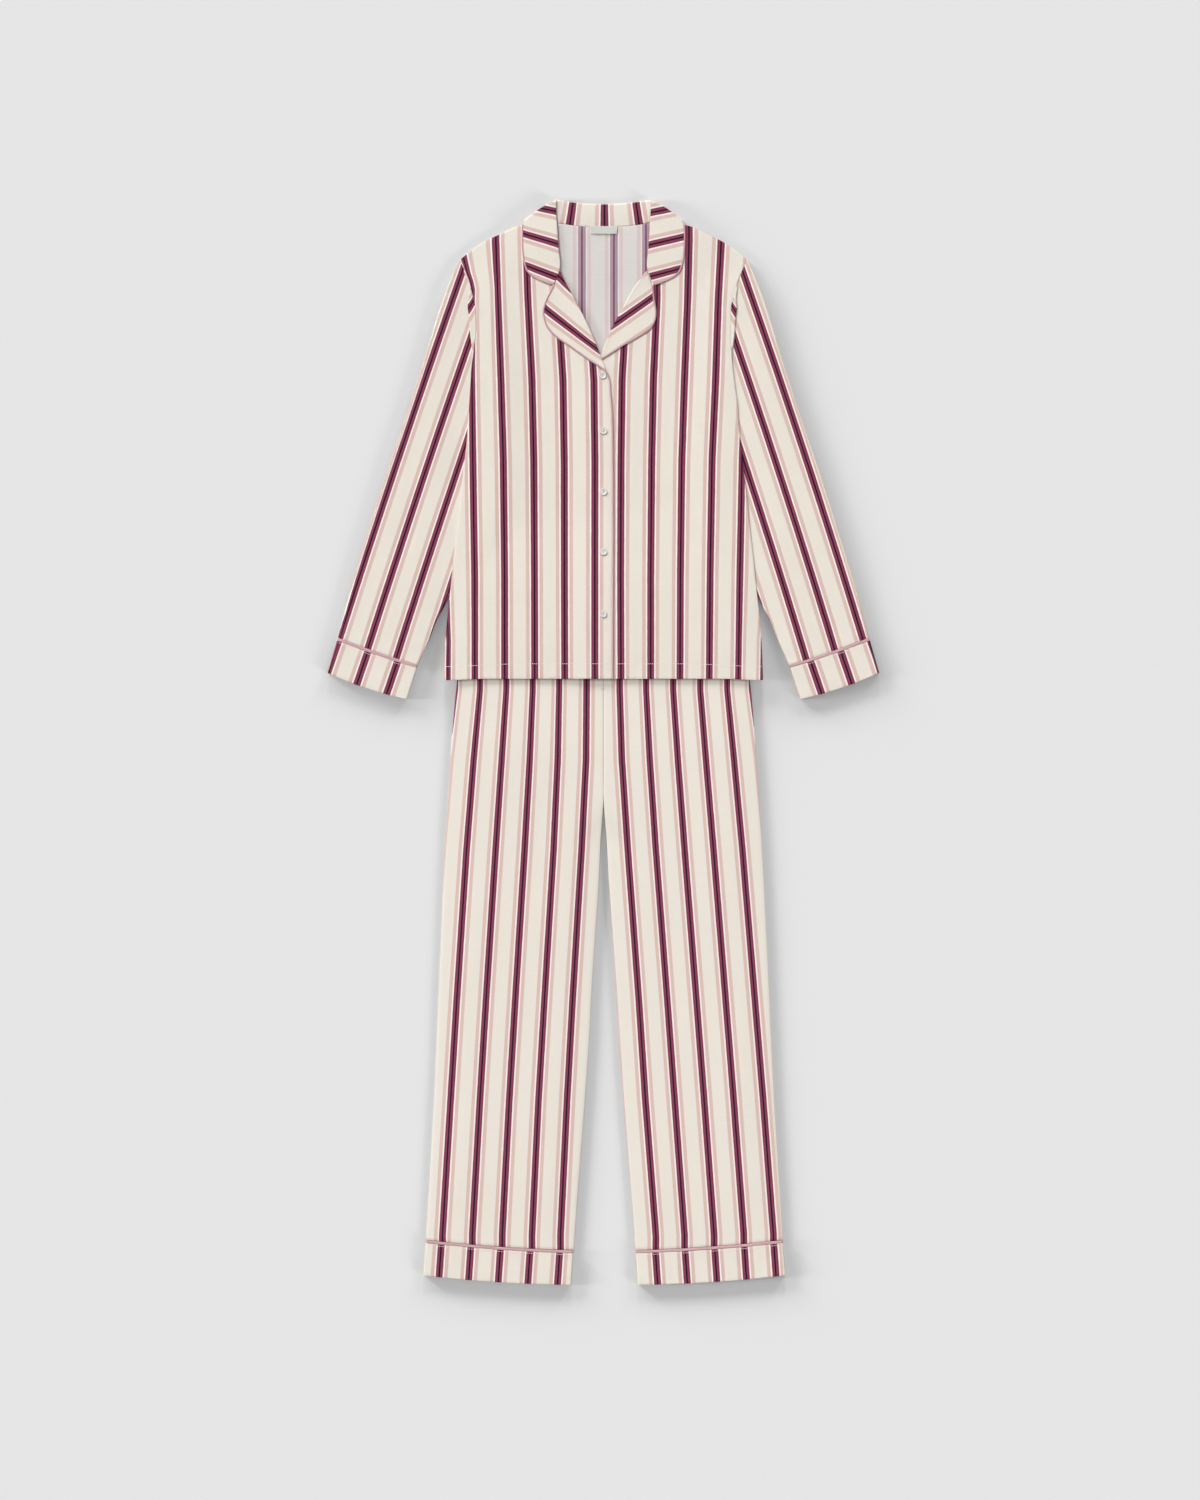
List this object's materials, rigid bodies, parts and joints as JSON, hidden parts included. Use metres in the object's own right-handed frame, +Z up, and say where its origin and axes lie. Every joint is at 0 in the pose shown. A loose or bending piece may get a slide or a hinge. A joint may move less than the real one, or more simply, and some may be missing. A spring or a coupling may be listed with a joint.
{
  "type": "striped pyjama set laid flat",
  "caption": "Piped long-sleeved striped pyjama shirt with a notched collar and button front, laid over its straight-legged trousers.",
  "frame": {"origin": "middle of the set's outline, on the surface that it lies on", "axes": "+Y along the set from the trouser hems to the collar, +X to the wearer's left, +Z up from the surface out of the front"},
  "size_m": [0.772, 1.5176, 0.0115],
  "materials": {
    "striped_cloth": "soft matt woven cotton, striped plum, white, pink and cream",
    "piping": "dusty pink bias piping, slight sheen",
    "button": "off-white pearl",
    "label": "blank off-white woven tape"
  },
  "bodies": {
    "root": {"shirt_back": "striped_cloth", "shirt_front_right": "striped_cloth", "shirt_front_left": "striped_cloth", "lapel_right": "striped_cloth", "lapel_left": "striped_cloth", "collar_back": "striped_cloth", "collar_leaf_right": "striped_cloth", "collar_leaf_left": "striped_cloth", "sleeve_right": "striped_cloth", "sleeve_left": "striped_cloth", "cuff_right": "striped_cloth", "cuff_left": "striped_cloth", "leg_front_right": "striped_cloth", "leg_front_left": "striped_cloth", "leg_back_right": "striped_cloth", "leg_back_left": "striped_cloth", "waistband": "striped_cloth", "hem_band_right": "striped_cloth", "hem_band_left": "striped_cloth", "cuff_piping_right": "piping", "cuff_piping_left": "piping", "collar_piping_right": "piping", "collar_piping_left": "piping", "front_piping_right": "piping", "front_piping_left": "piping", "hem_piping_right": "piping", "hem_piping_left": "piping", "button_1": "button", "button_2": "button", "button_3": "button", "button_4": "button", "button_5": "button", "neck_label": "label"}
  },
  "joints": []
}
